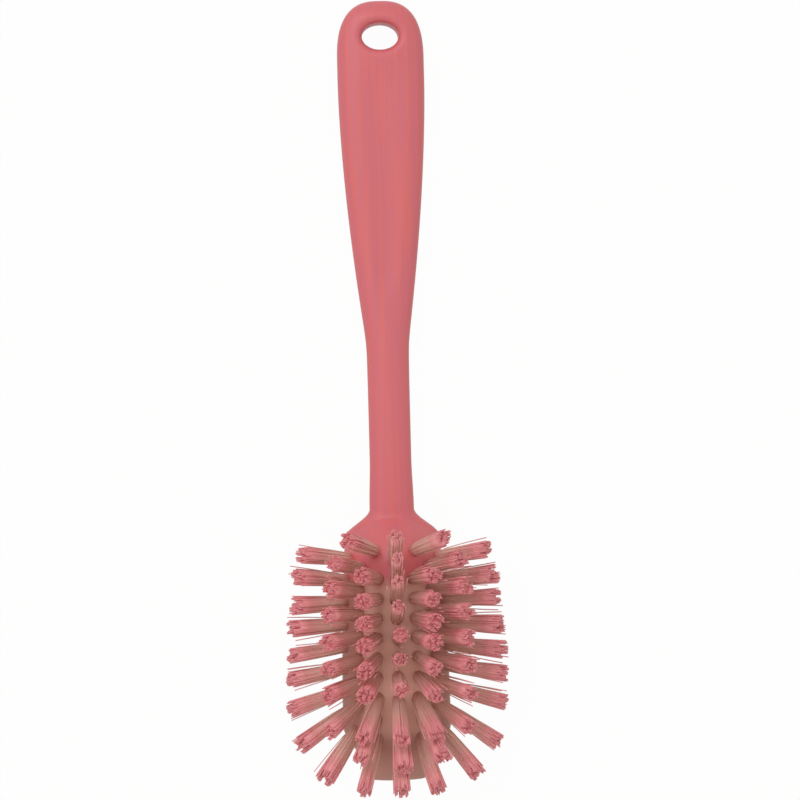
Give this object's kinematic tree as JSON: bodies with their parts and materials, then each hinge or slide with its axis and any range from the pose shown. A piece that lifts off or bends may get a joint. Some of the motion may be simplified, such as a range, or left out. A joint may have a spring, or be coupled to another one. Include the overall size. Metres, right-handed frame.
{
  "type": "dish brush",
  "caption": "Hand dish brush: slim moulded handle with an oval hanging hole, and a domed block with pressed-in bristle tufts that fan out to both sides and the nose.",
  "frame": {"origin": "under the middle of the brush's box, on the plane of the block's flat back", "axes": "+Y along the handle to the hanging hole, +Z from the flat back towards the bristles, +X to the right seen from the bristle side with the handle up"},
  "size_m": [0.0779, 0.2758, 0.0452],
  "materials": {
    "moulded_plastic": "satin-gloss moulded polypropylene, pink",
    "bristle": "translucent nylon filament, pink with brownish roots"
  },
  "bodies": {
    "root": {"handle_and_block": "moulded_plastic", "bristle_tuft_outer_01": "bristle", "bristle_tuft_outer_02": "bristle", "bristle_tuft_outer_03": "bristle", "bristle_tuft_outer_04": "bristle", "bristle_tuft_outer_05": "bristle", "bristle_tuft_outer_06": "bristle", "bristle_tuft_outer_07": "bristle", "bristle_tuft_outer_08": "bristle", "bristle_tuft_outer_09": "bristle", "bristle_tuft_outer_10": "bristle", "bristle_tuft_outer_11": "bristle", "bristle_tuft_outer_12": "bristle", "bristle_tuft_outer_13": "bristle", "bristle_tuft_outer_14": "bristle", "bristle_tuft_outer_15": "bristle", "bristle_tuft_outer_16": "bristle", "bristle_tuft_outer_17": "bristle", "bristle_tuft_outer_18": "bristle", "bristle_tuft_outer_19": "bristle", "bristle_tuft_outer_20": "bristle", "bristle_tuft_outer_21": "bristle", "bristle_tuft_middle_01": "bristle", "bristle_tuft_middle_02": "bristle", "bristle_tuft_middle_03": "bristle", "bristle_tuft_middle_04": "bristle", "bristle_tuft_middle_05": "bristle", "bristle_tuft_middle_06": "bristle", "bristle_tuft_middle_07": "bristle", "bristle_tuft_middle_08": "bristle", "bristle_tuft_middle_09": "bristle", "bristle_tuft_middle_10": "bristle", "bristle_tuft_middle_11": "bristle", "bristle_tuft_middle_12": "bristle", "bristle_tuft_middle_13": "bristle", "bristle_tuft_middle_14": "bristle", "bristle_tuft_middle_15": "bristle", "bristle_tuft_middle_16": "bristle", "bristle_tuft_middle_17": "bristle", "bristle_tuft_middle_18": "bristle", "bristle_tuft_middle_19": "bristle", "bristle_tuft_inner_01": "bristle", "bristle_tuft_inner_02": "bristle", "bristle_tuft_inner_03": "bristle", "bristle_tuft_inner_04": "bristle", "bristle_tuft_inner_05": "bristle", "bristle_tuft_inner_06": "bristle", "bristle_tuft_inner_07": "bristle", "bristle_tuft_inner_08": "bristle", "bristle_tuft_inner_09": "bristle", "bristle_tuft_inner_10": "bristle", "bristle_tuft_inner_11": "bristle", "bristle_tuft_inner_12": "bristle", "bristle_tuft_crown_01": "bristle", "bristle_tuft_crown_02": "bristle", "bristle_tuft_crown_03": "bristle", "bristle_tuft_crown_04": "bristle", "bristle_tuft_crown_05": "bristle", "bristle_tuft_crown_06": "bristle", "bristle_tuft_crown_07": "bristle"}
  },
  "joints": []
}
